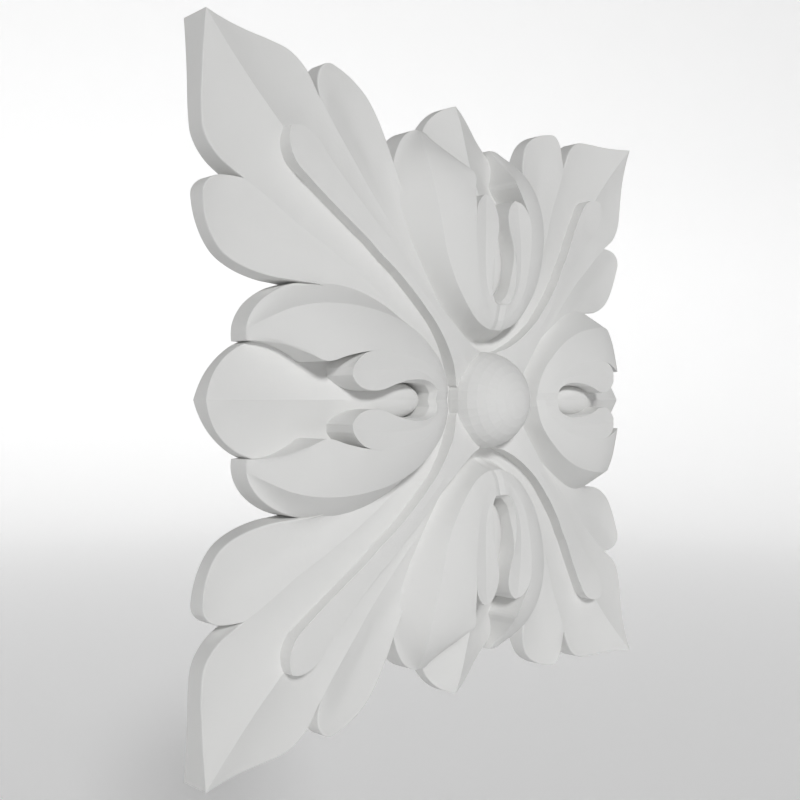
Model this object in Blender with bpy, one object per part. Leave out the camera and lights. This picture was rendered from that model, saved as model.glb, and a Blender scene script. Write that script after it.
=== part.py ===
"""Square carved rosette: four corner leaves, four folded buds, a ribbed star and a round centre boss."""
import math
import bmesh
import bpy

# Driving sizes in metres. Every other size below is a share of HALF.
HALF = 0.075            # centre to a leaf tip, along X or Z
BOSS_RADIUS = 0.1548    # ball in the middle
BOSS_HEIGHT = 0.1749    # ball centre above the back face
BOSS_SEGMENTS = 32
BOSS_RINGS = 16
PLINTH_REACH = 0.37     # plain core behind the carving
PLINTH_HEIGHT = 0.12
SINK = 0.05             # how far the pieces run past the back before it is cut flat

# Guide lines as (out along the axis, sideways, height). Each runs from the outside in.
# Corner leaf: edge, hollow, slope and crest. Past the notch the edge is the ridge it shares with
# its side lobe.
LEAF_EDGE = [(1.0, 1.0, 0.103), (0.9935, 0.900, 0.080), (0.989, 0.790, 0.067), (0.979, 0.697, 0.063),
             (0.938, 0.639, 0.0675), (0.861, 0.592, 0.074), (0.830, 0.5745, 0.0795), (0.80, 0.556, 0.084),
             (0.75, 0.523, 0.092), (0.70, 0.489, 0.100), (0.60, 0.428, 0.121), (0.50, 0.358, 0.146),
             (0.42, 0.296, 0.163), (0.335, 0.222, 0.168), (0.205, 0.055, 0.149), (0.181, -0.012, 0.1435)]
LEAF_HOLLOW = [(1.0, 1.0, 0.103), (0.973, 0.905, 0.082), (0.958, 0.830, 0.071), (0.930, 0.743, 0.065),
               (0.895, 0.685, 0.066), (0.822, 0.633, 0.072), (0.797, 0.615, 0.0755), (0.772, 0.597, 0.079),
               (0.72, 0.560, 0.088), (0.675, 0.523, 0.098), (0.579, 0.450, 0.1205), (0.480, 0.373, 0.1465),
               (0.403, 0.309, 0.163), (0.325, 0.238, 0.173), (0.185, 0.080, 0.154), (0.13, -0.012, 0.142)]
LEAF_SLOPE = [(1.0, 1.0, 0.103), (0.951, 0.905, 0.087), (0.925, 0.857, 0.079), (0.885, 0.787, 0.073),
              (0.843, 0.738, 0.074), (0.786, 0.668, 0.077), (0.765, 0.654, 0.080), (0.742, 0.641, 0.083),
              (0.69, 0.606, 0.0925), (0.645, 0.568, 0.1025), (0.552, 0.478, 0.125), (0.452, 0.396, 0.153),
              (0.380, 0.325, 0.168), (0.308, 0.253, 0.179), (0.165, 0.100, 0.165), (0.06, -0.012, 0.142)]
LEAF_CREST = [(1.0, 1.0, 0.103), (0.930, 0.930, 0.095), (0.885, 0.885, 0.0925), (0.835, 0.835, 0.092),
              (0.790, 0.790, 0.0945), (0.745, 0.745, 0.097), (0.715, 0.715, 0.096), (0.690, 0.690, 0.094),
              (0.640, 0.640, 0.103), (0.600, 0.600, 0.113), (0.510, 0.510, 0.137), (0.420, 0.420, 0.160),
              (0.345, 0.345, 0.174), (0.275, 0.275, 0.184), (0.120, 0.120, 0.175), (-0.012, -0.012, 0.142)]
NOTCH = 5
LOBE_END = 13

# Side lobe: lines that fan out of the notch, from beside the ridge round to the lobe's own edge.
LOBE_SHOULDER = [(0.912, 0.5955, 0.063), (0.880, 0.566, 0.065), (0.845, 0.536, 0.068), (0.785, 0.495, 0.078),
                 (0.715, 0.455, 0.0915), (0.612, 0.412, 0.1175), (0.512, 0.345, 0.1435), (0.425, 0.285, 0.162),
                 (0.338, 0.215, 0.167)]
LOBE_HOLLOW = [(0.950, 0.5865, 0.062), (0.915, 0.535, 0.0565), (0.865, 0.485, 0.0555), (0.80, 0.452, 0.0655),
               (0.732, 0.420, 0.0815), (0.626, 0.392, 0.1125), (0.525, 0.330, 0.142), (0.430, 0.275, 0.161),
               (0.342, 0.208, 0.167)]
LOBE_RISE = [(0.9755, 0.5625, 0.062), (0.942, 0.495, 0.052), (0.890, 0.437, 0.053), (0.826, 0.404, 0.064),
             (0.756, 0.379, 0.082), (0.645, 0.362, 0.109), (0.54, 0.312, 0.141), (0.44, 0.262, 0.159),
             (0.348, 0.200, 0.166)]
LOBE_EDGE = [(0.9805, 0.5375, 0.059), (0.9605, 0.458, 0.0515), (0.9185, 0.3945, 0.053),
             (0.8585, 0.3585, 0.0645), (0.776, 0.336, 0.086), (0.665, 0.31, 0.113), (0.56, 0.27, 0.142),
             (0.46, 0.23, 0.158), (0.365, 0.18, 0.165)]

# Star rib that lies on the leaf.
RIB_CENTRE = [(0.7455, 0.7455, 0.133), (0.738, 0.738, 0.133), (0.718, 0.718, 0.133), (0.690, 0.690, 0.134),
              (0.648, 0.648, 0.136), (0.5305, 0.5305, 0.1635), (0.4425, 0.4425, 0.1895),
              (0.3585, 0.3585, 0.212), (0.281, 0.281, 0.2265), (0.210, 0.210, 0.230), (0.148, 0.148, 0.2245),
              (0.120, 0.120, 0.221), (0.098, 0.098, 0.217), (0.05, 0.05, 0.21)]
RIB_EDGE = [(0.7455, 0.7455, 0.133), (0.7515, 0.722, 0.132), (0.7495, 0.692, 0.131), (0.728, 0.650, 0.131),
            (0.681, 0.610, 0.134), (0.556, 0.505, 0.1625), (0.464, 0.421, 0.188), (0.376, 0.341, 0.211),
            (0.298, 0.264, 0.224), (0.235, 0.188, 0.2225), (0.1795, 0.1125, 0.2095), (0.167, 0.076, 0.207),
            (0.1604, 0.043, 0.205), (0.09, 0.043, 0.200)]

# Bud: a skirt hidden in the leaf, the foot of its side, the crease, the dome and the inner lip.
BUD_SKIRT = [(0.181, 0.0, 0.1455), (0.1856, 0.040, 0.148), (0.1952, 0.071, 0.150), (0.2142, 0.115, 0.155),
             (0.268, 0.185, 0.155), (0.345, 0.245, 0.15), (0.430, 0.293, 0.14), (0.530, 0.333, 0.115),
             (0.618, 0.3375, 0.10), (0.692, 0.327, 0.0935), (0.757, 0.3045, 0.087), (0.812, 0.2665, 0.0775),
             (0.8445, 0.2185, 0.0725), (0.8525, 0.179, 0.071)]
BUD_FOOT = [(0.1945, 0.0, 0.1545), (0.200, 0.045, 0.160), (0.211, 0.072, 0.165), (0.232, 0.108, 0.172),
            (0.285, 0.172, 0.178), (0.360, 0.232, 0.176), (0.440, 0.278, 0.168), (0.525, 0.312, 0.147),
            (0.612, 0.3265, 0.124), (0.686, 0.318, 0.109), (0.751, 0.294, 0.097), (0.803, 0.258, 0.087),
            (0.837, 0.214, 0.079), (0.8525, 0.175, 0.0715)]
BUD_CREASE = [(0.221, 0.0, 0.229), (0.226, 0.040, 0.230), (0.236, 0.070, 0.232), (0.253, 0.100, 0.235),
              (0.300, 0.150, 0.238), (0.360, 0.195, 0.2385), (0.4457, 0.2325, 0.2345), (0.536, 0.2515, 0.230),
              (0.622, 0.264, 0.217), (0.703, 0.264, 0.189), (0.765, 0.251, 0.155), (0.806, 0.229, 0.122),
              (0.834, 0.203, 0.094), (0.852, 0.171, 0.072)]
BUD_DOME = [(0.252, 0.0, 0.2465), (0.256, 0.030, 0.247), (0.267, 0.058, 0.2495), (0.285, 0.085, 0.2535),
            (0.325, 0.120, 0.2565), (0.380, 0.152, 0.2585), (0.452, 0.180, 0.2595), (0.535, 0.196, 0.2565),
            (0.605, 0.200, 0.2475), (0.680, 0.190, 0.227), (0.745, 0.185, 0.197), (0.798, 0.182, 0.154),
            (0.830, 0.178, 0.110), (0.851, 0.166, 0.073)]
BUD_LIP = [(0.292, 0.0, 0.2550), (0.296, 0.020, 0.2555), (0.306, 0.040, 0.257), (0.322, 0.062, 0.2595),
           (0.360, 0.096, 0.265), (0.402, 0.116, 0.2685), (0.460, 0.130, 0.2695), (0.530, 0.137, 0.2705),
           (0.590, 0.134, 0.266), (0.655, 0.108, 0.252), (0.714, 0.103, 0.234), (0.766, 0.127, 0.202),
           (0.815, 0.145, 0.145), (0.849, 0.159, 0.075)]

# Curled tip that lies over the bud: its outer line, its middle and the line round the keyhole.
CURL_OUTER = [(0.270, 0.0, 0.2525), (0.280, 0.035, 0.2535), (0.305, 0.070, 0.2575), (0.350, 0.102, 0.264),
              (0.402, 0.119, 0.269), (0.4476, 0.130, 0.270), (0.505, 0.138, 0.2712), (0.560, 0.1365, 0.2705),
              (0.600, 0.126, 0.266), (0.626, 0.106, 0.263), (0.637, 0.080, 0.2605)]
CURL_MIDDLE = [(0.282, 0.0, 0.2545), (0.292, 0.028, 0.255), (0.318, 0.052, 0.258), (0.358, 0.076, 0.2625),
               (0.408, 0.088, 0.2655), (0.460, 0.090, 0.265), (0.515, 0.088, 0.264), (0.560, 0.083, 0.262),
               (0.596, 0.080, 0.2595), (0.620, 0.078, 0.259), (0.6365, 0.074, 0.2595)]
CURL_INNER = [(0.294, 0.0, 0.256), (0.303, 0.022, 0.2565), (0.327, 0.043, 0.2585), (0.365, 0.0555, 0.2615),
              (0.415, 0.055, 0.264), (0.465, 0.0455, 0.265), (0.515, 0.0335, 0.2645), (0.560, 0.0265, 0.2625),
              (0.595, 0.031, 0.2595), (0.620, 0.045, 0.2585), (0.634, 0.064, 0.259)]

# Back lobe and its stem, seen in the middle of the bud.
BACK_EDGE = [(0.9712, 0.0, 0.0603), (0.953, 0.0455, 0.049), (0.9265, 0.086, 0.0415), (0.888, 0.124, 0.0395),
             (0.845, 0.152, 0.053), (0.78, 0.166, 0.088), (0.70, 0.158, 0.130), (0.64, 0.152, 0.150),
             (0.58, 0.146, 0.155), (0.52, 0.11, 0.155), (0.43, 0.08, 0.155), (0.36, 0.06, 0.155),
             (0.312, 0.0, 0.155)]
BACK_HOLLOW = [(0.9712, 0.0, 0.0603), (0.9485, 0.030, 0.0587), (0.916, 0.058, 0.0605), (0.870, 0.086, 0.070),
               (0.826, 0.102, 0.0855), (0.765, 0.108, 0.112), (0.70, 0.10, 0.139), (0.64, 0.085, 0.153),
               (0.58, 0.05, 0.170), (0.52, 0.047, 0.180), (0.43, 0.057, 0.185), (0.362, 0.040, 0.185),
               (0.330, 0.0, 0.185)]
BACK_SLOPE = [(0.9712, 0.0, 0.0603), (0.946, 0.015, 0.0652), (0.914, 0.029, 0.0721), (0.867, 0.044, 0.0815),
              (0.82, 0.050, 0.0925), (0.76, 0.05, 0.112), (0.70, 0.05, 0.137), (0.64, 0.04, 0.162),
              (0.58, 0.028, 0.195), (0.52, 0.034, 0.2165), (0.43, 0.047, 0.2265), (0.370, 0.030, 0.224),
              (0.339, 0.0, 0.219)]
BACK_CREST = [(0.9712, 0.0, 0.0603), (0.945, 0.0, 0.0705), (0.912, 0.0, 0.0825), (0.865, 0.0, 0.0955),
              (0.8116, 0.0, 0.1085), (0.76, 0.0, 0.1225), (0.70, 0.0, 0.146), (0.64, 0.0, 0.173),
              (0.58, 0.0, 0.200), (0.52, 0.0, 0.221), (0.43, 0.0, 0.2315), (0.375, 0.0, 0.2285),
              (0.345, 0.0, 0.2225)]


def spline(points, steps):
    """Smooth line through the points, with so many steps to each interval."""
    chords = [[b - a for a, b in zip(near, far)] for near, far in zip(points, points[1:])]
    spans = [max(math.sqrt(sum(value * value for value in chord)), 1e-6) ** 0.5 for chord in chords]
    paces = [[value / span for value in chord] for chord, span in zip(chords, spans)]
    turns = []
    for i in range(len(paces) - 1):
        one = spans[i]
        two = spans[i + 1]
        turns.append([a - (a * one + b * two) / (one + two) + b for a, b in zip(paces[i], paces[i + 1])])
    first = [2 * a - b for a, b in zip(paces[0], turns[0])] if turns else paces[0]
    final = [2 * a - b for a, b in zip(paces[-1], turns[-1])] if turns else paces[-1]
    turns = [first] + turns + [final]
    line = []
    for i, span in enumerate(spans):
        for step in range(steps):
            t = step / steps
            line.append(tuple(
                start + span * leave * t
                + (3 * chord - 2 * span * leave - span * arrive) * t ** 2
                + (span * leave + span * arrive - 2 * chord) * t ** 3
                for start, chord, leave, arrive in zip(points[i], chords[i], turns[i], turns[i + 1])))
    line.append(tuple(points[-1]))
    return line


def sheet(rails, along, across):
    """Grid of points: along the rails, then across them."""
    lines = [spline(rail, along) for rail in rails]
    return [spline([line[i] for line in lines], across) for i in range(len(lines[0]))]


def add_solid(name, sheets, turn):
    """Closed body: the sheets on top, sharing their edges, straight walls down and a flat underside."""
    mesh = bmesh.new()
    found = {}

    def vertex(point):
        key = tuple(round(value, 5) for value in point)
        if key not in found:
            x, z = turn(point[0], point[1])
            found[key] = mesh.verts.new((x * HALF, -point[2] * HALF, z * HALF))
        return found[key]

    for rows in sheets:
        for i in range(len(rows) - 1):
            for j in range(len(rows[i]) - 1):
                loop = []
                for corner in (rows[i][j], rows[i][j + 1], rows[i + 1][j + 1], rows[i + 1][j]):
                    vert = vertex(corner)
                    if vert not in loop:
                        loop.append(vert)
                if len(loop) > 2:
                    mesh.faces.new(loop)
    rim = [edge for edge in mesh.edges if len(edge.link_faces) == 1]
    low = {}
    for edge in rim:
        for vert in edge.verts:
            if vert not in low:
                low[vert] = mesh.verts.new((vert.co.x, SINK * HALF, vert.co.z))
    for edge in rim:
        a, b = edge.verts
        mesh.faces.new((a, b, low[b], low[a]))
    under = [edge for edge in mesh.edges if len(edge.link_faces) == 1]
    bmesh.ops.contextual_create(mesh, geom=under)
    bmesh.ops.recalc_face_normals(mesh, faces=mesh.faces)
    data = bpy.data.meshes.new(name)
    mesh.to_mesh(data)
    mesh.free()
    body = bpy.data.objects.new(name, data)
    bpy.context.collection.objects.link(body)
    return body


def mirrored(rails, swap):
    """Rails for both halves of a piece whose last rail lies on its own centre line."""
    return rails + [[swap(point) for point in rail] for rail in reversed(rails[:-1])]


def other_side(point):
    return (point[0], -point[1], point[2])


def over_diagonal(point):
    return (point[1], point[0], point[2])


def both_ways(rail):
    """One line from the end on one side, past the centre line, to the end on the other side."""
    return [other_side(point) for point in reversed(rail[1:])] + rail


def quarter_turns():
    """The four ways a guide line is laid on the face."""
    return [lambda p, q: (p, q), lambda p, q: (-q, p), lambda p, q: (-p, -q), lambda p, q: (q, -p)]


def ball(name):
    mesh = bmesh.new()
    bmesh.ops.create_uvsphere(mesh, u_segments=BOSS_SEGMENTS, v_segments=BOSS_RINGS,
                              radius=BOSS_RADIUS * HALF)
    for vert in mesh.verts:
        x, y, z = vert.co
        vert.co = (x, -z - BOSS_HEIGHT * HALF, y)
    bmesh.ops.recalc_face_normals(mesh, faces=mesh.faces)
    data = bpy.data.meshes.new(name)
    mesh.to_mesh(data)
    mesh.free()
    body = bpy.data.objects.new(name, data)
    bpy.context.collection.objects.link(body)
    return body


def plinth(name, reach, height, steps):
    """Plain round core that ties every piece together behind the carving."""
    mesh = bmesh.new()
    ring = []
    for i in range(steps):
        angle = 2 * math.pi * (i + 0.5) / steps
        ring.append((reach * HALF * math.cos(angle), reach * HALF * math.sin(angle)))
    front = [mesh.verts.new((x, -height * HALF, z)) for x, z in ring]
    back = [mesh.verts.new((x, SINK * HALF, z)) for x, z in ring]
    mesh.faces.new(front)
    mesh.faces.new(back)
    for i in range(steps):
        j = (i + 1) % steps
        mesh.faces.new((front[i], front[j], back[j], back[i]))
    bmesh.ops.recalc_face_normals(mesh, faces=mesh.faces)
    data = bpy.data.meshes.new(name)
    mesh.to_mesh(data)
    mesh.free()
    body = bpy.data.objects.new(name, data)
    bpy.context.collection.objects.link(body)
    return body


def join(target, tool, operation):
    modifier = target.modifiers.new("join", "BOOLEAN")
    modifier.operation = operation
    modifier.solver = "EXACT"
    modifier.object = tool
    depsgraph = bpy.context.evaluated_depsgraph_get()
    data = bpy.data.meshes.new_from_object(target.evaluated_get(depsgraph))
    target.modifiers.remove(modifier)
    target.data = data
    bpy.data.objects.remove(tool)


def back_cutter():
    """Block behind the back face."""
    bpy.ops.mesh.primitive_cube_add(size=1.0, location=(0.0, HALF, 0.0))
    block = bpy.context.object
    block.scale = (HALF * 3, HALF * 2, HALF * 3)
    bpy.ops.object.transform_apply(location=True, rotation=False, scale=True)
    return block


def build():
    for item in list(bpy.data.objects):
        bpy.data.objects.remove(item)
    body = plinth("rosette", PLINTH_REACH, PLINTH_HEIGHT, 24)
    tools = [ball("boss")]
    for turn in quarter_turns():
        leaf = sheet(mirrored([LEAF_EDGE, LEAF_HOLLOW, LEAF_SLOPE, LEAF_CREST], over_diagonal), 1, 2)
        ridge = LEAF_EDGE[NOTCH:LOBE_END + 1]
        lobe = sheet([ridge, LOBE_SHOULDER, LOBE_HOLLOW, LOBE_RISE, LOBE_EDGE], 1, 2)
        twin = [[over_diagonal(point) for point in row] for row in lobe]
        tools.append(add_solid("leaf", [leaf, lobe, twin], turn))
        rib = mirrored([RIB_EDGE, RIB_CENTRE], over_diagonal)
        tools.append(add_solid("rib", [sheet(rib, 2, 1)], turn))
        bud = [both_ways(rail) for rail in (BUD_SKIRT, BUD_FOOT, BUD_CREASE, BUD_DOME, BUD_LIP)]
        tools.append(add_solid("bud", [sheet(bud, 1, 2)], turn))
        curl = [both_ways(rail) for rail in (CURL_OUTER, CURL_MIDDLE, CURL_INNER)]
        tools.append(add_solid("curl", [sheet(curl, 1, 1)], turn))
        back = mirrored([BACK_EDGE, BACK_HOLLOW, BACK_SLOPE, BACK_CREST], other_side)
        tools.append(add_solid("back lobe", [sheet(back, 1, 1)], turn))
    for tool in tools:
        join(body, tool, "UNION")
    join(body, back_cutter(), "DIFFERENCE")
    material = bpy.data.materials.new("white plaster")
    material.use_nodes = True
    shader = material.node_tree.nodes["Principled BSDF"]
    shader.inputs["Base Color"].default_value = (0.80, 0.80, 0.79, 1.0)
    shader.inputs["Roughness"].default_value = 0.75
    body.data.materials.clear()
    body.data.materials.append(material)
    return body


build()
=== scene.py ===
"""The finely carved surface of a square plaster rosette, its finish, its light and its camera.

The rosette repeats eight times: four quarters, each its own mirror image. One eighth, between the
axis of a side bud and the diagonal of a corner leaf, is carved from guide lines, and a node tree
lays its eight copies round the centre.

Guide lines are written in shares of the half width: p runs from the centre along the axis of the
bud, q square to it along the back, and h is the height off the back.
"""
import math

import bmesh
import bpy
from bpy.props import FloatProperty, FloatVectorProperty, IntProperty, PointerProperty
from bpy.types import Operator, Panel, PropertyGroup
from mathutils import Matrix, Vector


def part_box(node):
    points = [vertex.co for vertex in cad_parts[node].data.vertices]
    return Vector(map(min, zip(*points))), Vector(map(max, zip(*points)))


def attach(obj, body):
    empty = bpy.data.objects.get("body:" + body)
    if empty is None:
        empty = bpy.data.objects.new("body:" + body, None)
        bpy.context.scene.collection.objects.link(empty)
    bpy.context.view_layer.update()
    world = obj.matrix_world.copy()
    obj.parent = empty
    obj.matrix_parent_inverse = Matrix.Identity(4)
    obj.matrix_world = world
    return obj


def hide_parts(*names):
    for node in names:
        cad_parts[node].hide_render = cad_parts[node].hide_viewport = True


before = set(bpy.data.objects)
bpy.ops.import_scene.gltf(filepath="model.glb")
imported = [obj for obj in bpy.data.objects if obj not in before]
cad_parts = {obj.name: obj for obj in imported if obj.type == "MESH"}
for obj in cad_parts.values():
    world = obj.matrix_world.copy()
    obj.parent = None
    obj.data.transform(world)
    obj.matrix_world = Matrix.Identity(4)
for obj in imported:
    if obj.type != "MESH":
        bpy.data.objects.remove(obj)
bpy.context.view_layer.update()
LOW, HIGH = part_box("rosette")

bl_info = {
    "name": "Carved Rosette",
    "version": (1, 0, 0),
    "blender": (4, 5, 0),
    "location": "3D View > Sidebar > Rosette",
    "description": "Builds a square carved rosette in white plaster with its light and camera",
    "category": "Add Mesh",
}

# Corner leaf: its edge, two lines on its slope and its crest along the diagonal. Each starts at
# the tip of the corner and runs down to the centre. Past the notch the edge becomes the ridge
# that the leaf shares with its side lobe.
LEAF_EDGE = (
    (1.0, 1.0, 0.103), (0.9945, 0.925, 0.0845), (0.991, 0.85, 0.0725), (0.9885, 0.765, 0.0655),
    (0.9785, 0.6955, 0.063), (0.938, 0.639, 0.0675), (0.861, 0.592, 0.074), (0.830, 0.5745, 0.0795),
    (0.80, 0.556, 0.084), (0.75, 0.523, 0.092), (0.70, 0.489, 0.100), (0.60, 0.428, 0.121),
    (0.50, 0.358, 0.146), (0.42, 0.296, 0.163), (0.335, 0.222, 0.168), (0.26, 0.145, 0.159),
    (0.205, 0.055, 0.1465), (0.187, -0.012, 0.1425),
)
LEAF_HOLLOW = (
    (1.0, 1.0, 0.103), (0.984, 0.944, 0.090), (0.970, 0.884, 0.079), (0.956, 0.811, 0.069),
    (0.930, 0.743, 0.065), (0.895, 0.685, 0.066), (0.822, 0.633, 0.072), (0.797, 0.615, 0.0755),
    (0.772, 0.597, 0.079), (0.72, 0.560, 0.088), (0.675, 0.523, 0.098), (0.579, 0.450, 0.1205),
    (0.480, 0.373, 0.1465), (0.403, 0.309, 0.163), (0.325, 0.238, 0.173), (0.243, 0.158, 0.171),
    (0.187, 0.070, 0.156), (0.172, -0.012, 0.150),
)
LEAF_SLOPE = (
    (1.0, 1.0, 0.103), (0.976, 0.953, 0.094), (0.951, 0.905, 0.087), (0.922, 0.847, 0.078),
    (0.885, 0.787, 0.073), (0.843, 0.738, 0.074), (0.786, 0.668, 0.077), (0.765, 0.654, 0.080),
    (0.742, 0.641, 0.083), (0.69, 0.606, 0.0925), (0.645, 0.568, 0.1025), (0.552, 0.478, 0.125),
    (0.452, 0.396, 0.153), (0.380, 0.325, 0.168), (0.308, 0.253, 0.179), (0.220, 0.176, 0.1825),
    (0.1665, 0.085, 0.1675), (0.152, -0.012, 0.1665),
)
LEAF_CREST = (
    (1.0, 1.0, 0.103), (0.963, 0.963, 0.098), (0.930, 0.930, 0.095), (0.885, 0.885, 0.0925),
    (0.835, 0.835, 0.092), (0.79, 0.79, 0.0945), (0.745, 0.745, 0.097), (0.715, 0.715, 0.096),
    (0.69, 0.69, 0.094), (0.64, 0.64, 0.103), (0.60, 0.60, 0.113), (0.51, 0.51, 0.137),
    (0.42, 0.42, 0.160), (0.345, 0.345, 0.174), (0.275, 0.275, 0.184), (0.20, 0.20, 0.187),
    (0.12, 0.12, 0.176), (-0.012, -0.012, 0.170),
)

# The points of the leaf's edge where the side lobe's ridge starts, at the notch, and ends.
NOTCH = 6
LOBE_END = 15

# Side lobe: lines that fan out of the notch, from beside the ridge round to the lobe's own edge.
LOBE_SHOULDER = (
    (0.912, 0.5955, 0.063), (0.880, 0.566, 0.068), (0.845, 0.536, 0.0695), (0.785, 0.495, 0.0765),
    (0.715, 0.455, 0.0915), (0.612, 0.412, 0.1175), (0.512, 0.345, 0.1435), (0.425, 0.285, 0.162),
    (0.338, 0.215, 0.167), (0.262, 0.135, 0.160),
)
LOBE_HOLLOW = (
    (0.950, 0.5865, 0.062), (0.915, 0.535, 0.0565), (0.865, 0.485, 0.0555), (0.80, 0.452, 0.0655),
    (0.732, 0.420, 0.0815), (0.626, 0.392, 0.1125), (0.525, 0.330, 0.142), (0.430, 0.275, 0.161),
    (0.342, 0.208, 0.167), (0.265, 0.13, 0.160),
)
LOBE_RISE = (
    (0.9755, 0.5625, 0.062), (0.942, 0.495, 0.052), (0.890, 0.437, 0.053), (0.826, 0.404, 0.064),
    (0.756, 0.379, 0.082), (0.645, 0.362, 0.109), (0.54, 0.312, 0.141), (0.44, 0.262, 0.159),
    (0.348, 0.200, 0.166), (0.27, 0.12, 0.160),
)
LOBE_EDGE = (
    (0.9805, 0.5375, 0.059), (0.9605, 0.458, 0.0515), (0.9185, 0.3945, 0.053),
    (0.8585, 0.3585, 0.0645), (0.776, 0.3355, 0.086), (0.7, 0.328, 0.113), (0.63, 0.317, 0.136),
    (0.51, 0.25, 0.152), (0.365, 0.18, 0.165), (0.29, 0.1, 0.16),
)

# Star rib that lies on the leaf: its edge and its middle, from the round end to the centre.
RIB_EDGE = (
    (0.7455, 0.7455, 0.133), (0.7515, 0.722, 0.1325), (0.7495, 0.692, 0.1315), (0.728, 0.65, 0.131),
    (0.681, 0.61, 0.1345), (0.606, 0.547, 0.15), (0.556, 0.505, 0.163), (0.506, 0.463, 0.176),
    (0.464, 0.421, 0.1885), (0.417, 0.381, 0.2), (0.376, 0.341, 0.21), (0.337, 0.302, 0.217),
    (0.3, 0.264, 0.221), (0.2655, 0.228, 0.2227), (0.234, 0.188, 0.2236), (0.207, 0.151, 0.2205),
    (0.1832, 0.1137, 0.2155), (0.1645, 0.076, 0.207), (0.151, 0.0416, 0.1995),
    (0.125, 0.0416, 0.197), (0.09, 0.0416, 0.195),
)
RIB_MIDDLE = (
    (0.7455, 0.7455, 0.133), (0.738, 0.738, 0.133), (0.718, 0.718, 0.1332), (0.69, 0.69, 0.1335),
    (0.648, 0.648, 0.136), (0.5765, 0.5765, 0.1505), (0.5305, 0.5305, 0.1635),
    (0.4845, 0.4845, 0.1765), (0.4425, 0.4425, 0.1895), (0.399, 0.399, 0.2015),
    (0.3585, 0.3585, 0.2118), (0.3195, 0.3195, 0.219), (0.281, 0.281, 0.2235),
    (0.2445, 0.2445, 0.2255), (0.21, 0.21, 0.225), (0.178, 0.178, 0.2225), (0.148, 0.148, 0.2185),
    (0.12, 0.12, 0.213), (0.098, 0.098, 0.208), (0.075, 0.075, 0.204), (0.05, 0.05, 0.2),
)

# Bud: a skirt hidden in the leaf, the foot of its side, the crease, the dome and the inner lip.
# Each runs from beside the axis, round the base of the bud, out to its end.
BUD_SKIRT = (
    (0.1825, 0.0225, 0.1465), (0.1875, 0.048, 0.1485), (0.1965, 0.0755, 0.1505),
    (0.2165, 0.119, 0.155), (0.268, 0.185, 0.155), (0.345, 0.245, 0.15), (0.43, 0.293, 0.14),
    (0.53, 0.333, 0.115), (0.618, 0.3375, 0.1), (0.692, 0.327, 0.0935), (0.757, 0.3045, 0.087),
    (0.812, 0.2665, 0.0775), (0.8405, 0.2285, 0.073), (0.8515, 0.1965, 0.0713),
)
BUD_FOOT = (
    (0.1958, 0.0225, 0.157), (0.2015, 0.048, 0.1605), (0.212, 0.0755, 0.166),
    (0.2345, 0.1115, 0.1725), (0.285, 0.172, 0.178), (0.36, 0.232, 0.176), (0.44, 0.278, 0.168),
    (0.525, 0.313, 0.148), (0.612, 0.3275, 0.125), (0.686, 0.3175, 0.1115), (0.751, 0.29, 0.1),
    (0.803, 0.253, 0.089), (0.8345, 0.219, 0.079), (0.8518, 0.194, 0.0714),
)
BUD_CREASE = (
    (0.2225, 0.0225, 0.229), (0.228, 0.048, 0.2305), (0.2385, 0.0755, 0.2325),
    (0.259, 0.109, 0.2355), (0.3, 0.15, 0.238), (0.36, 0.195, 0.2385), (0.4457, 0.2335, 0.2355),
    (0.536, 0.254, 0.232), (0.622, 0.264, 0.2175), (0.703, 0.262, 0.19), (0.765, 0.247, 0.156),
    (0.806, 0.2245, 0.121), (0.833, 0.206, 0.092), (0.852, 0.1915, 0.0716),
)
BUD_DOME = (
    (0.238, 0.0225, 0.2395), (0.246, 0.048, 0.241), (0.262, 0.074, 0.2445), (0.287, 0.103, 0.2495),
    (0.331, 0.134, 0.2535), (0.384, 0.16, 0.2565), (0.452, 0.18, 0.2595), (0.53, 0.194, 0.2565),
    (0.605, 0.198, 0.248), (0.68, 0.188, 0.229), (0.745, 0.187, 0.189), (0.798, 0.186, 0.136),
    (0.83, 0.181, 0.1005), (0.8527, 0.176, 0.0715),
)
BUD_LIP = (
    (0.2525, 0.0225, 0.2465), (0.2646, 0.0464, 0.2485), (0.2875, 0.0695, 0.2535),
    (0.32, 0.0925, 0.2585), (0.366, 0.1145, 0.2635), (0.41, 0.1235, 0.267),
    (0.465, 0.1325, 0.2687), (0.535, 0.138, 0.2693), (0.59, 0.1325, 0.2662),
    (0.645, 0.1205, 0.252), (0.704, 0.104, 0.234), (0.742, 0.127, 0.194), (0.795, 0.1525, 0.126),
    (0.851, 0.16, 0.075),
)

# Curled tip that lies over the bud: its outer line past the point of the bud's lip where the two
# part, its middle, the rim of the keyhole and the foot of the small bevel inside that rim.
PARTING = 7
CURL_OUTER = (
    (0.567, 0.1362, 0.2695), (0.6, 0.126, 0.267), (0.622, 0.109, 0.2645), (0.6355, 0.0885, 0.2605),
)
CURL_MIDDLE = (
    (0.294, 0.0225, 0.2555), (0.3015, 0.041, 0.2565), (0.3195, 0.057, 0.258),
    (0.3475, 0.0725, 0.2595), (0.385, 0.083, 0.262), (0.423, 0.0875, 0.2635),
    (0.475, 0.0885, 0.264), (0.535, 0.0855, 0.263), (0.567, 0.0825, 0.2613), (0.596, 0.081, 0.2595),
    (0.62, 0.08, 0.259), (0.6367, 0.078, 0.259),
)
CURL_INNER = (
    (0.3012, 0.0215, 0.2575), (0.306, 0.0345, 0.259), (0.3283, 0.0488, 0.2615),
    (0.359, 0.0577, 0.2645), (0.392, 0.0595, 0.2675), (0.428, 0.057, 0.27), (0.475, 0.0475, 0.2715),
    (0.53, 0.03, 0.269), (0.563, 0.0262, 0.2655), (0.595, 0.031, 0.2615), (0.62, 0.045, 0.2595),
    (0.638, 0.0677, 0.259),
)
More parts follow.
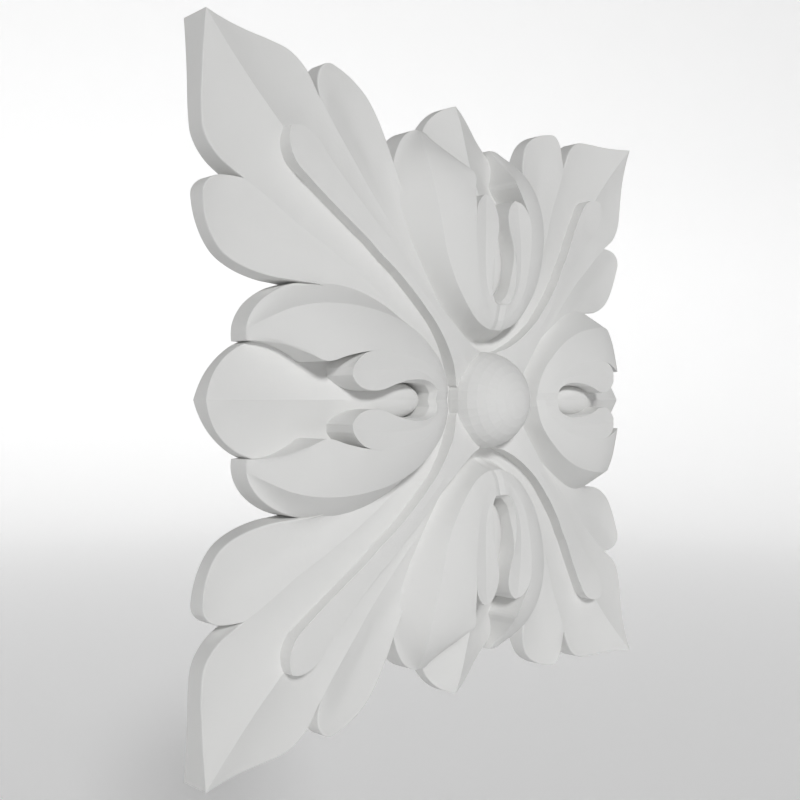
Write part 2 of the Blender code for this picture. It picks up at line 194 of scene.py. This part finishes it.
CURL_BEVEL = (
    (0.3125, 0.0195, 0.235), (0.3195, 0.029, 0.2365), (0.3357, 0.0422, 0.2405),
    (0.36, 0.0487, 0.246), (0.392, 0.0502, 0.2525), (0.428, 0.0505, 0.2615), (0.475, 0.046, 0.268),
    (0.53, 0.0292, 0.2665), (0.563, 0.0254, 0.264), (0.5955, 0.03, 0.26), (0.6207, 0.0441, 0.258),
    (0.6388, 0.067, 0.2575),
)

# Back lobe and its stem, seen in the middle of the bud: edge, two slopes and crest on the axis.
# Each starts at the tip of the lobe and ends inside the keyhole.
BACK_EDGE = (
    (0.9712, 0, 0.0603), (0.953, 0.0455, 0.049), (0.9265, 0.086, 0.0415), (0.888, 0.124, 0.0395),
    (0.845, 0.152, 0.053), (0.785, 0.168, 0.088), (0.7, 0.158, 0.124), (0.64, 0.152, 0.15),
    (0.58, 0.146, 0.155), (0.52, 0.08, 0.15), (0.42, 0.062, 0.15), (0.335, 0.038, 0.15),
    (0.312, 0, 0.15),
)
BACK_HOLLOW = (
    (0.9712, 0, 0.0603), (0.9485, 0.03, 0.0577), (0.914, 0.06, 0.0545), (0.866, 0.085, 0.0625),
    (0.815, 0.098, 0.077), (0.765, 0.104, 0.094), (0.7, 0.1, 0.1185), (0.64, 0.09, 0.1445),
    (0.58, 0.052, 0.176), (0.52, 0.05, 0.191), (0.42, 0.055, 0.197), (0.34, 0.031, 0.195),
    (0.32, 0, 0.192),
)
BACK_SLOPE = (
    (0.9712, 0, 0.0603), (0.946, 0.015, 0.0645), (0.912, 0.031, 0.0675), (0.862, 0.044, 0.0785),
    (0.8066, 0.047, 0.0935), (0.762, 0.049, 0.1065), (0.7, 0.047, 0.132), (0.64, 0.043, 0.158),
    (0.58, 0.03, 0.1925), (0.52, 0.033, 0.213), (0.42, 0.038, 0.2225), (0.352, 0.022, 0.216),
    (0.33, 0, 0.209),
)
BACK_CREST = (
    (0.9712, 0, 0.0603), (0.945, 0, 0.0705), (0.912, 0, 0.082), (0.865, 0, 0.0955),
    (0.8116, 0, 0.109), (0.76, 0, 0.1235), (0.7, 0, 0.146), (0.64, 0, 0.173), (0.58, 0, 0.1985),
    (0.52, 0, 0.2185), (0.43, 0, 0.228), (0.375, 0, 0.2245), (0.345, 0, 0.2165),
)

# The plain block behind the boss: half its side and its height, in half widths.
PLINTH_REACH = 0.36
PLINTH_HEIGHT = 0.12

# The stem is the most strongly curved surface, so it has this many times the faces across.
STEM_FINENESS = 3
RIB_STEPS_ACROSS = 2
# Folds sharper than this show as a crease.
CREASE_DEGREES = 9
QUARTERS = 4

# Points closer to a cutting plane than the first lie on it, and the copies are merged where their
# points are closer than the second, in metres.
ON_PLANE = 2e-7
MERGE_DISTANCE = 2e-6

# The direction from the rosette to the main light.
LIGHT = Vector((-0.4536, -0.7869, 0.4184))
# The camera's place before the centre, in half widths, its turn and its lens.
CAMERA_X = -2.3873
CAMERA_Y = -2.1881
CAMERA_TURN_DEGREES = -45
LENS_MM = 43.456
SENSOR_MM = 36

# The backdrop, in metres: how far it reaches, the radius of its bend, the height of its wall and
# how much lower the wall is towards the light.
BACKDROP_REACH = 4.0
BACKDROP_BEND = 1.0
WALL_TOP = 1.8
WALL_DIP = 0.9
WALL_SIDES = 64
BEND_STEPS = 12


class RosetteSizes(PropertyGroup):
    """Sizes of the carving that don't come from its guide lines"""
    half_width: FloatProperty(
        name="Half Width", description="From the centre to the tip of a corner leaf, along a side",
        default=(HIGH.x - LOW.x) / 2, min=0.01, unit="LENGTH")
    boss_radius: FloatProperty(
        name="Boss Radius", description="Radius of the centre boss, in half widths",
        default=0.1548, min=0.05, max=0.3)
    boss_height: FloatProperty(
        name="Boss Height", description="Height of the boss's centre off the back, in half widths",
        default=0.1749, min=0.0, max=0.4)
    boss_segments: IntProperty(
        name="Boss Facets Round", description="Facets round the boss, seen from the front",
        default=32, min=8, max=64)
    boss_rings: IntProperty(
        name="Boss Facet Rows", description="Rows of facets from the boss's front to its back",
        default=16, min=4, max=32)
    rim: FloatProperty(
        name="Rim", description="Radius of the softened edge of each lobe, in half widths",
        default=0.005, min=0.0, max=0.02)
    depth: FloatProperty(
        name="Foot", description="Height off the back where the walls end while the lobes are joined",
        default=0.02, min=0.0, max=0.05)
    groove: FloatProperty(
        name="Groove", description="Depth of the shallow groove over the base of each bud, in half widths",
        default=0.006, min=0.0, max=0.02)
    along: IntProperty(
        name="Steps Along", description="Faces between two points of a guide line",
        default=5, min=1, max=12)
    across: IntProperty(
        name="Steps Across", description="Faces between two neighbouring guide lines",
        default=4, min=1, max=12)


class PlasterFinish(PropertyGroup):
    """The look of the plaster"""
    colour: FloatVectorProperty(
        name="Colour", description="Colour of the dry plaster", subtype="COLOR",
        default=(0.82, 0.82, 0.81), min=0.0, max=1.0)
    roughness: FloatProperty(
        name="Roughness", description="How matte the plaster is", default=0.75, min=0.1, max=0.9,
        subtype="FACTOR")
    patches: FloatProperty(
        name="Dull Patches", description="How far the roughness strays between patches", default=0.08,
        min=0.0, max=0.1, subtype="FACTOR")
    mottle: FloatProperty(
        name="Mottle", description="How far the colour strays between patches", default=0.02, min=0.0,
        max=0.1, subtype="FACTOR")
    grain: FloatProperty(
        name="Grain", description="Strength of the fine grain", default=0.25, min=0.0, max=1.0,
        subtype="FACTOR")


class StageSizes(PropertyGroup):
    """The floor and the light"""
    floor_drop: FloatProperty(
        name="Floor Drop", description="How far the floor lies under the rosette's centre",
        default=0.45, min=0.1, unit="LENGTH")
    key_power: FloatProperty(
        name="Key Strength", description="Strength of the main light", default=1.7, min=0.0)
    softness: FloatProperty(
        name="Key Softness", description="How wide the main light looks, in degrees", default=10.0,
        min=0.0, max=90.0)
    glow: FloatProperty(
        name="Backdrop Glow", description="How far the backdrop shines by itself", default=0.2,
        min=0.0)
    fill: FloatProperty(
        name="Fill Strength", description="Strength of the light from all round", default=0.02,
        min=0.0)


def spline(points, steps):
    """Points along a smooth curve through the given ones, with so many steps to each interval."""
    points = [Vector(point) for point in points]
    chords = [far - near for near, far in zip(points, points[1:])]
    spans = [max(chord.length, 1e-6) ** 0.5 for chord in chords]
    paces = [chord / span for chord, span in zip(chords, spans)]
    turns = [before - (before * one + after * two) / (one + two) + after
             for before, after, one, two in zip(paces, paces[1:], spans, spans[1:])]
    first = 2 * paces[0] - turns[0] if turns else paces[0]
    final = 2 * paces[-1] - turns[-1] if turns else paces[-1]
    turns = [first] + turns + [final]
    samples = []
    for index, span in enumerate(spans):
        leave, arrive = turns[index] * span, turns[index + 1] * span
        for step in range(steps):
            t = step / steps
            samples.append(points[index] + leave * t + (3 * chords[index] - 2 * leave - arrive) * t ** 2
                           + (leave + arrive - 2 * chords[index]) * t ** 3)
    samples.append(points[-1])
    return samples


def surface(lines, across):
    """Rows of points across guide lines that are already sampled alike."""
    return [spline([line[index] for line in lines], across) for index in range(len(lines[0]))]


def rounded(row, rim):
    """The row with its first point drawn down into a small round, held in the fourth number."""
    edge, inner = row[0], row[1]
    length = math.hypot(inner[0] - edge[0], inner[1] - edge[1])
    if length < 1e-6 or rim <= 0:
        return [edge, edge] + list(row)
    reach = min(rim, 0.6 * length)

    def at(distance, drop):
        point = edge.lerp(inner, distance / length)
        point[3] = max(point[3], drop)
        return point

    return [at(0.0, reach), at(0.293 * reach, 0.293 * reach), at(reach, 0.0)] + list(row[1:])


def soften(rows, rim, sides, hold=()):
    """Rounds the named sides of a surface. hold names the ends of a side that stay as they are."""
    rows = [[Vector((*point, 0.0)) for point in row] for row in rows]

    def soften_start(rows, held):
        return [[row[0], row[0]] + list(row) if index in held else rounded(row, rim)
                for index, row in enumerate(rows)]

    def turned(rows):
        return [list(column) for column in zip(*rows)]

    if "start" in sides:
        rows = soften_start(rows, hold)
    if "end" in sides:
        rows = [row[::-1] for row in soften_start([row[::-1] for row in rows], hold)]
    if "first" in sides:
        rows = turned(soften_start(turned(rows), hold))
    if "last" in sides:
        rows = turned(rows)
        rows = turned([row[::-1] for row in soften_start([row[::-1] for row in rows], hold)])
    return [[Vector((p, q, h - drop)) for p, q, h, drop in row] for row in rows]


def over_axis(row):
    """The row's mirror image across the axis of the bud."""
    return [Vector((p, -q, h)) for p, q, h in row]


def grooved(rows, sizes):
    """The rows, carried across the axis over a shallow groove that runs along it."""
    bottom = [Vector((p, 0.0, h - sizes.groove)) for p, q, h in rows[0]]
    return [over_axis(rows[0]), bottom] + rows


def over_diagonal(row):
    """The row's mirror image across the diagonal of the leaf."""
    return [Vector((q, p, h)) for p, q, h in row]


def carve_solid(name, surfaces, sizes):
    """A closed solid under surfaces that share their edges, with upright walls down to its foot."""
    half = sizes.half_width
    solid = bmesh.new()
    corners = {}

    def corner(point):
        key = tuple(round(value, 5) for value in point)
        if key not in corners:
            corners[key] = solid.verts.new((point[0] * half, -point[2] * half, point[1] * half))
        return corners[key]

    for rows in surfaces:
        for near, far in zip(rows, rows[1:]):
            for index in range(len(near) - 1):
                loop = []
                for point in (near[index], near[index + 1], far[index + 1], far[index]):
                    vertex = corner(point)
                    if vertex not in loop:
                        loop.append(vertex)
                if len(loop) > 2:
                    solid.faces.new(loop)
    rim = [edge for edge in solid.edges if len(edge.link_faces) == 1]
    feet = {}
    for edge in rim:
        for vertex in edge.verts:
            if vertex not in feet:
                feet[vertex] = solid.verts.new((vertex.co.x, -sizes.depth * half, vertex.co.z))
    for edge in rim:
        one, two = edge.verts
        solid.faces.new((one, two, feet[two], feet[one]))
    bmesh.ops.contextual_create(solid, geom=[edge for edge in solid.edges if len(edge.link_faces) == 1])
    if any(len(edge.link_faces) != 2 for edge in solid.edges):
        raise RuntimeError(name + " isn't closed")
    return finished(name, solid)


def finished(name, solid, flat=False):
    """An object from a closed mesh, its faces turned outwards."""
    bmesh.ops.recalc_face_normals(solid, faces=solid.faces)
    if solid.calc_volume(signed=True) < 0:
        bmesh.ops.reverse_faces(solid, faces=solid.faces)
    for face in solid.faces:
        face.smooth = not flat
    mesh = bpy.data.meshes.new(name)
    solid.to_mesh(mesh)
    solid.free()
    body = bpy.data.objects.new(name, mesh)
    bpy.context.scene.collection.objects.link(body)
    return body


def boss(sizes):
    """The faceted ball in the middle, its pole towards the viewer."""
    ball = bmesh.new()
    bmesh.ops.create_uvsphere(ball, u_segments=sizes.boss_segments, v_segments=sizes.boss_rings,
                              radius=sizes.boss_radius * sizes.half_width)
    place = Matrix.Translation((0, -sizes.boss_height * sizes.half_width, 0))
    bmesh.ops.transform(ball, matrix=place @ Matrix.Rotation(math.pi / 2, 4, "X"), verts=ball.verts)
    return finished("boss", ball, flat=True)


def facet_the_boss(mesh, sizes):
    """Leaves the boss's facets flat; everything else is smooth up to its creases."""
    centre = Vector((0, -sizes.boss_height * sizes.half_width, 0))
    radius = sizes.boss_radius * sizes.half_width
    for face in mesh.polygons:
        reach = [(mesh.vertices[index].co - centre).length for index in face.vertices]
        face.use_smooth = not all(0.99 * radius < length < 1.001 * radius for length in reach)


def eighth_block(sizes):
    """A wedge between the axis of a bud and the diagonal, from the back to over the boss."""
    half = sizes.half_width
    wedge = bmesh.new()
    plan = ((0.0, 0.0), (1.2, 0.0), (1.2, 1.2))
    back = [wedge.verts.new((p * half, 0.0, q * half)) for p, q in plan]
    front = [wedge.verts.new((p * half, -0.5 * half, q * half)) for p, q in plan]
    wedge.faces.new(back)
    wedge.faces.new(front[::-1])
    for one, two in ((0, 1), (1, 2), (2, 0)):
        wedge.faces.new((back[two], back[one], front[one], front[two]))
    return finished("wedge", wedge, flat=True)


def combine(body, tool, operation):
    """Joins or cuts body with tool, which is used up."""
    cut = body.modifiers.new("Cut", "BOOLEAN")
    cut.operation = operation
    cut.solver = "EXACT"
    cut.object = tool
    evaluated = body.evaluated_get(bpy.context.evaluated_depsgraph_get())
    mesh = bpy.data.meshes.new_from_object(evaluated)
    body.modifiers.remove(cut)
    body.data = mesh
    bpy.data.objects.remove(tool)


def leaf_and_lobe(sizes):
    """The corner leaf up to its crest, with one side lobe, as one solid that crosses the diagonal."""
    lines = [spline(line, sizes.along) for line in (LEAF_EDGE, LEAF_HOLLOW, LEAF_SLOPE, LEAF_CREST)]
    notch = NOTCH * sizes.along
    leaf = surface(lines, sizes.across)
    tip = soften(leaf[:notch + 1], sizes.rim, ("start",), hold=(notch,))
    overlap = [[row[-1], over_diagonal([row[-1 - sizes.across]])[0]] for row in leaf]
    ridge = lines[0][notch:LOBE_END * sizes.along + 1]
    lobe_lines = (LOBE_SHOULDER, LOBE_HOLLOW, LOBE_RISE, LOBE_EDGE)
    lobe = surface([ridge] + [spline(line, sizes.along) for line in lobe_lines], sizes.across)
    lobe = soften(lobe, sizes.rim, ("end",))
    lobe = soften(lobe, sizes.rim, ("first",), hold=(0,))
    return carve_solid("leaf", [tip, leaf[notch:], overlap, lobe], sizes)


def rib(sizes):
    """The star rib on the leaf, whole across the diagonal."""
    rows = surface([spline(line, sizes.along) for line in (RIB_EDGE, RIB_MIDDLE)], RIB_STEPS_ACROSS)
    rows = [row + over_diagonal(row[::-1])[1:] for row in rows]
    return carve_solid("rib", [rows], sizes)


def bud(sizes):
    """One half of the bud: its side up to the crease, and its dome from there to the lip."""
    side, dome = (surface([spline(line, sizes.along) for line in lines], sizes.across)
                  for lines in ((BUD_SKIRT, BUD_FOOT, BUD_CREASE), (BUD_CREASE, BUD_DOME, BUD_LIP)))
    rows = [low + high[1:] for low, high in zip(side, dome)]
    rows = soften(rows, sizes.rim, ("start", "last"))
    return carve_solid("bud", [grooved(rows, sizes)], sizes)


def curl(sizes):
    """One half of the curled tip, in two planes with a bevel down into the keyhole."""
    outer = spline(BUD_LIP, sizes.along)[:PARTING * sizes.along]
    outer += spline((BUD_LIP[PARTING], *CURL_OUTER), sizes.along)
    lines = [outer] + [spline(line, sizes.along) for line in (CURL_MIDDLE, CURL_INNER, CURL_BEVEL)]
    strips = [surface(pair, sizes.across) for pair in zip(lines, lines[1:])]
    rows = [outside + inside[1:] + bevel[1:] for outside, inside, bevel in zip(*strips)]
    return carve_solid("curl", [grooved(rows, sizes)], sizes)


def back_lobe(sizes):
    """The back lobe and its stem, whole across the axis."""
    lines = (BACK_EDGE, BACK_HOLLOW, BACK_SLOPE, BACK_CREST)
    rows = surface([spline(line, sizes.along) for line in lines], STEM_FINENESS * sizes.across)
    rows = soften(rows, sizes.rim, ("start",))
    rows = [row + over_axis(row[::-1])[1:] for row in rows]
    return carve_solid("back lobe", [rows], sizes)


def plinth(sizes):
    """A plain block behind the boss, under the star, that no guide line reaches."""
    half = sizes.half_width
    block = bmesh.new()
    bmesh.ops.create_cube(block, size=2 * PLINTH_REACH * half)
    for vertex in block.verts:
        vertex.co.y = -PLINTH_HEIGHT * half if vertex.co.y < 0 else -sizes.depth * half
    return finished("plinth", block)


def eighth(sizes):
    """One eighth of the rosette, open along the axis and the diagonal."""
    body = leaf_and_lobe(sizes)
    for tool in (rib(sizes), bud(sizes), curl(sizes), back_lobe(sizes), plinth(sizes), boss(sizes)):
        combine(body, tool, "UNION")
    combine(body, eighth_block(sizes), "INTERSECT")
    part = bmesh.new()
    part.from_mesh(body.data)
    seams = [face for face in part.faces
             if all(abs(vertex.co.z) < ON_PLANE for vertex in face.verts)
             or all(abs(vertex.co.x - vertex.co.z) < ON_PLANE for vertex in face.verts)]
    bmesh.ops.delete(part, geom=seams, context="FACES")
    for vertex in part.verts:
        if abs(vertex.co.z) < ON_PLANE:
            vertex.co.z = 0.0
        if abs(vertex.co.x - vertex.co.z) < ON_PLANE:
            vertex.co.z = vertex.co.x
        if vertex.co.y > -(sizes.depth + 0.001) * sizes.half_width:
            vertex.co.y = 0.0
    part.to_mesh(body.data)
    part.free()
    return body


def round_the_centre():
    """Node tree: an eighth and its mirror image, laid round the centre and merged."""
    tree = bpy.data.node_groups.new("Round the Centre", "GeometryNodeTree")
    face = tree.interface
    face.new_socket("Eighth", in_out="INPUT", socket_type="NodeSocketGeometry")
    quarters = face.new_socket("Quarters", in_out="INPUT", socket_type="NodeSocketInt")
    quarters.default_value = QUARTERS
    gap = face.new_socket("Merge Distance", in_out="INPUT", socket_type="NodeSocketFloat")
    gap.default_value = MERGE_DISTANCE
    finish = face.new_socket("Plaster", in_out="INPUT", socket_type="NodeSocketMaterial")
    face.new_socket("Rosette", in_out="OUTPUT", socket_type="NodeSocketGeometry")

    def add(kind, **values):
        node = tree.nodes.new(kind)
        for name, value in values.items():
            setattr(node, name, value)
        return node

    start = add("NodeGroupInput")
    mirror = add("GeometryNodeTransform")
    mirror.inputs["Scale"].default_value = (1, 1, -1)
    outwards = add("GeometryNodeFlipFaces")
    pair = add("GeometryNodeJoinGeometry")
    points = add("GeometryNodePoints")
    number = add("GeometryNodeInputIndex")
    turn = add("ShaderNodeMath", operation="DIVIDE")
    turn.inputs[0].default_value = math.tau
    angle = add("ShaderNodeMath", operation="MULTIPLY")
    axis = add("ShaderNodeCombineXYZ")
    copies = add("GeometryNodeInstanceOnPoints")
    real = add("GeometryNodeRealizeInstances")
    merge = add("GeometryNodeMergeByDistance")
    plaster = add("GeometryNodeSetMaterial")
    end = add("NodeGroupOutput")
    join = tree.links.new
    join(start.outputs["Eighth"], mirror.inputs["Geometry"])
    join(mirror.outputs["Geometry"], outwards.inputs["Mesh"])
    join(outwards.outputs["Mesh"], pair.inputs["Geometry"])
    join(start.outputs["Eighth"], pair.inputs["Geometry"])
    join(start.outputs["Quarters"], points.inputs["Count"])
    join(start.outputs["Quarters"], turn.inputs[1])
    join(turn.outputs["Value"], angle.inputs[0])
    join(number.outputs["Index"], angle.inputs[1])
    join(angle.outputs["Value"], axis.inputs["Y"])
    join(points.outputs["Points"], copies.inputs["Points"])
    join(pair.outputs["Geometry"], copies.inputs["Instance"])
    join(axis.outputs["Vector"], copies.inputs["Rotation"])
    join(copies.outputs["Instances"], real.inputs["Geometry"])
    join(real.outputs["Geometry"], merge.inputs["Geometry"])
    join(start.outputs["Merge Distance"], merge.inputs["Distance"])
    join(merge.outputs["Geometry"], plaster.inputs["Geometry"])
    join(start.outputs["Plaster"], plaster.inputs["Material"])
    join(plaster.outputs["Geometry"], end.inputs["Rosette"])
    return tree, quarters.identifier, finish.identifier


def plaster_material(finish):
    """Dry matte plaster with a faint mottle and a fine grain."""
    material = bpy.data.materials.new("white plaster")
    material.use_nodes = True
    tree = material.node_tree
    shader = tree.nodes["Principled BSDF"]
    shader.inputs["Specular IOR Level"].default_value = 0.2
    place = tree.nodes.new("ShaderNodeTexCoord")

    def noise(scale, detail):
        node = tree.nodes.new("ShaderNodeTexNoise")
        node.inputs["Scale"].default_value = scale
        node.inputs["Detail"].default_value = detail
        tree.links.new(place.outputs["Object"], node.inputs["Vector"])
        return node.outputs["Fac"]

    mottle = tree.nodes.new("ShaderNodeMix")
    mottle.data_type = "RGBA"
    tree.links.new(noise(32.0, 4.0), mottle.inputs["Factor"])
    mottle.inputs["A"].default_value = (*(value * (1 - finish.mottle) for value in finish.colour), 1.0)
    mottle.inputs["B"].default_value = (*(value * (1 + finish.mottle) for value in finish.colour), 1.0)
    tree.links.new(mottle.outputs["Result"], shader.inputs["Base Color"])

    dull = tree.nodes.new("ShaderNodeMapRange")
    tree.links.new(noise(75.0, 3.0), dull.inputs["Value"])
    dull.inputs["To Min"].default_value = finish.roughness - finish.patches
    dull.inputs["To Max"].default_value = finish.roughness + finish.patches
    tree.links.new(dull.outputs["Result"], shader.inputs["Roughness"])

    grain = tree.nodes.new("ShaderNodeBump")
    grain.inputs["Strength"].default_value = finish.grain
    grain.inputs["Distance"].default_value = 0.0001
    tree.links.new(noise(1100.0, 3.0), grain.inputs["Height"])
    tree.links.new(grain.outputs["Normal"], shader.inputs["Normal"])
    return material


def backdrop(sizes):
    """A round floor that bends up into a wall, lower on the side that the light comes from."""
    floor = bmesh.new()
    towards_light = math.atan2(LIGHT.y, LIGHT.x)
    profile = [(0.0, -sizes.floor_drop)]
    for step in range(BEND_STEPS + 1):
        turn = math.pi / 2 * step / BEND_STEPS
        profile.append((BACKDROP_REACH - BACKDROP_BEND + BACKDROP_BEND * math.sin(turn),
                        BACKDROP_BEND - sizes.floor_drop - BACKDROP_BEND * math.cos(turn)))
    spokes = []
    for side in range(WALL_SIDES):
        azimuth = math.tau * side / WALL_SIDES
        top = WALL_TOP - WALL_DIP * max(0.0, math.cos(azimuth - towards_light))
        spokes.append([floor.verts.new((away * math.cos(azimuth), away * math.sin(azimuth), height))
                       for away, height in profile + [(BACKDROP_REACH, top)]])
    for one, two in zip(spokes, spokes[1:] + spokes[:1]):
        for index in range(len(one) - 1):
            face = floor.faces.new((one[index], one[index + 1], two[index + 1], two[index]))
            face.smooth = True
    bmesh.ops.remove_doubles(floor, verts=floor.verts, dist=1e-5)
    bmesh.ops.recalc_face_normals(floor, faces=floor.faces)
    mesh = bpy.data.meshes.new("floor")
    floor.to_mesh(mesh)
    floor.free()
    return mesh


def pale_floor(sizes):
    """Plain pale matte paper for the floor and the backdrop."""
    material = bpy.data.materials.new("pale floor")
    material.use_nodes = True
    shader = material.node_tree.nodes["Principled BSDF"]
    shader.inputs["Base Color"].default_value = (0.93, 0.93, 0.93, 1)
    shader.inputs["Roughness"].default_value = 0.9
    shader.inputs["Emission Color"].default_value = (1, 1, 1, 1)
    shader.inputs["Emission Strength"].default_value = sizes.glow
    return material


class ROSETTE_OT_carving(Operator):
    """Carve the rosette from its guide lines"""
    bl_idname = "rosette.carving"
    bl_label = "Carving"

    def execute(self, context):
        sizes = context.scene.rosette_sizes
        piece = eighth(sizes)
        tree, quarters, finish = round_the_centre()
        copies = piece.modifiers.new("Round the Centre", "NODES")
        copies.node_group = tree
        copies[quarters] = QUARTERS
        copies[finish] = plaster_material(context.scene.plaster_finish)
        evaluated = piece.evaluated_get(context.evaluated_depsgraph_get())
        mesh = bpy.data.meshes.new_from_object(evaluated)
        piece.modifiers.remove(copies)
        piece.data = mesh
        piece.name = "rosette_carving"
        mesh.name = piece.name
        check = bmesh.new()
        check.from_mesh(mesh)
        loose = sum(len(edge.link_faces) != 2 for edge in check.edges)
        check.free()
        if loose:
            raise RuntimeError("the carving has %d open edges" % loose)
        mesh.set_sharp_from_angle(angle=math.radians(CREASE_DEGREES))
        facet_the_boss(mesh, sizes)
        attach(piece, "root")
        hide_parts("rosette")
        return {"FINISHED"}


class ROSETTE_OT_stage(Operator):
    """Set up the floor, the light and the camera"""
    bl_idname = "rosette.stage"
    bl_label = "Floor, Light and Camera"

    def execute(self, context):
        scene = context.scene
        sizes = scene.stage_sizes
        half = scene.rosette_sizes.half_width
        mesh = backdrop(sizes)
        body = bpy.data.objects.new("floor", mesh)
        scene.collection.objects.link(body)
        mesh.materials.append(pale_floor(sizes))

        world = bpy.data.worlds.new("studio")
        scene.world = world
        scene.view_settings.view_transform = "Standard"
        world.use_nodes = True
        background = world.node_tree.nodes["Background"]
        background.inputs["Color"].default_value = (1, 1, 1, 1)
        background.inputs["Strength"].default_value = sizes.fill

        key = bpy.data.lights.new("key", "SUN")
        key.energy = sizes.key_power
        key.angle = math.radians(sizes.softness)
        lamp = bpy.data.objects.new("key", key)
        lamp.rotation_euler = LIGHT.to_track_quat("Z", "Y").to_euler()
        scene.collection.objects.link(lamp)

        lens = bpy.data.cameras.new("camera")
        lens.lens = LENS_MM
        lens.sensor_width = SENSOR_MM
        lens.clip_start = 0.01
        camera = bpy.data.objects.new("camera", lens)
        camera.location = (CAMERA_X * half, CAMERA_Y * half, 0)
        camera.rotation_euler = (math.radians(90), 0, math.radians(CAMERA_TURN_DEGREES))
        scene.collection.objects.link(camera)
        scene.camera = camera
        return {"FINISHED"}


class ROSETTE_PT_panel(Panel):
    bl_idname = "ROSETTE_PT_panel"
    bl_label = "Carved Rosette"
    bl_space_type = "VIEW_3D"
    bl_region_type = "UI"
    bl_category = "Rosette"

    def draw(self, context):
        scene = context.scene
        for group in (scene.rosette_sizes, scene.plaster_finish, scene.stage_sizes):
            box = self.layout.box()
            for name in group.__annotations__:
                box.prop(group, name)
        self.layout.operator(ROSETTE_OT_carving.bl_idname)
        self.layout.operator(ROSETTE_OT_stage.bl_idname)


CLASSES = (RosetteSizes, PlasterFinish, StageSizes,
           ROSETTE_OT_carving, ROSETTE_OT_stage, ROSETTE_PT_panel)


def register():
    for kind in CLASSES:
        bpy.utils.register_class(kind)
    bpy.types.Scene.rosette_sizes = PointerProperty(type=RosetteSizes)
    bpy.types.Scene.plaster_finish = PointerProperty(type=PlasterFinish)
    bpy.types.Scene.stage_sizes = PointerProperty(type=StageSizes)


def unregister():
    del bpy.types.Scene.stage_sizes
    del bpy.types.Scene.plaster_finish
    del bpy.types.Scene.rosette_sizes
    for kind in reversed(CLASSES):
        bpy.utils.unregister_class(kind)


def main():
    register()
    bpy.ops.rosette.carving()
    bpy.ops.rosette.stage()
    bpy.context.view_layer.update()


if __name__ == "__main__":
    main()
